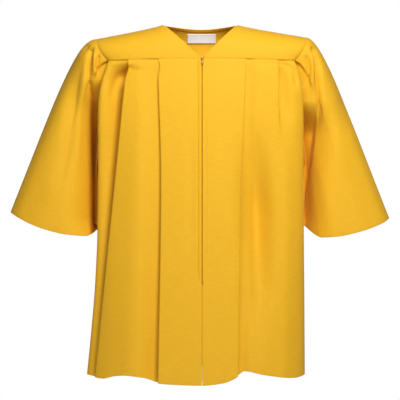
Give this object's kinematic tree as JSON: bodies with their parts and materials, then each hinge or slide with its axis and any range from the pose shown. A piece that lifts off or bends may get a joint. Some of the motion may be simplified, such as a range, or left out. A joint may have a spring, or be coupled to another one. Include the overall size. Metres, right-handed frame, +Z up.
{
  "type": "graduation gown",
  "caption": "Child's short graduation gown filled out as worn, with a yoke, knife pleats, bell sleeves gathered at the armholes and a centre front zip with a hinged pull tab.",
  "frame": {"origin": "midway between the two neck points of the shoulders, where a wearer's shoulders hold the gown up", "axes": "+X towards the wearer's left, -Y out of the gown's front, +Z up"},
  "size_m": [0.7432, 0.2368, 0.693],
  "materials": {
    "gown_fabric": "matte woven polyester with a faint horizontal slub",
    "label_weave": "white woven label, bare",
    "zip_tape": "woven zip tape in the gown's colour",
    "zip_coil": "moulded nylon coil in the gown's colour",
    "zip_metal": "lacquered die-cast metal in the gown's colour"
  },
  "bodies": {
    "gown": {"yoke_front_left": "gown_fabric", "yoke_front_right": "gown_fabric", "yoke_back": "gown_fabric", "front_left": "gown_fabric", "front_right": "gown_fabric", "back": "gown_fabric", "sleeve_left": "gown_fabric", "sleeve_right": "gown_fabric", "neck_label": "label_weave", "zip_tape_left": "zip_tape", "zip_tape_right": "zip_tape", "zip_coil": "zip_coil", "zip_slider": "zip_metal"},
    "pull_tab": {"zip_pull": "zip_metal"}
  },
  "joints": [
    {"name": "pull_tab_swing", "type": "hinge", "parent": "gown", "child": "pull_tab", "pos_m": [0.001, -0.0927, -0.07235], "axis": [1, 0, 0], "range_deg": [-150, 0]}
  ]
}
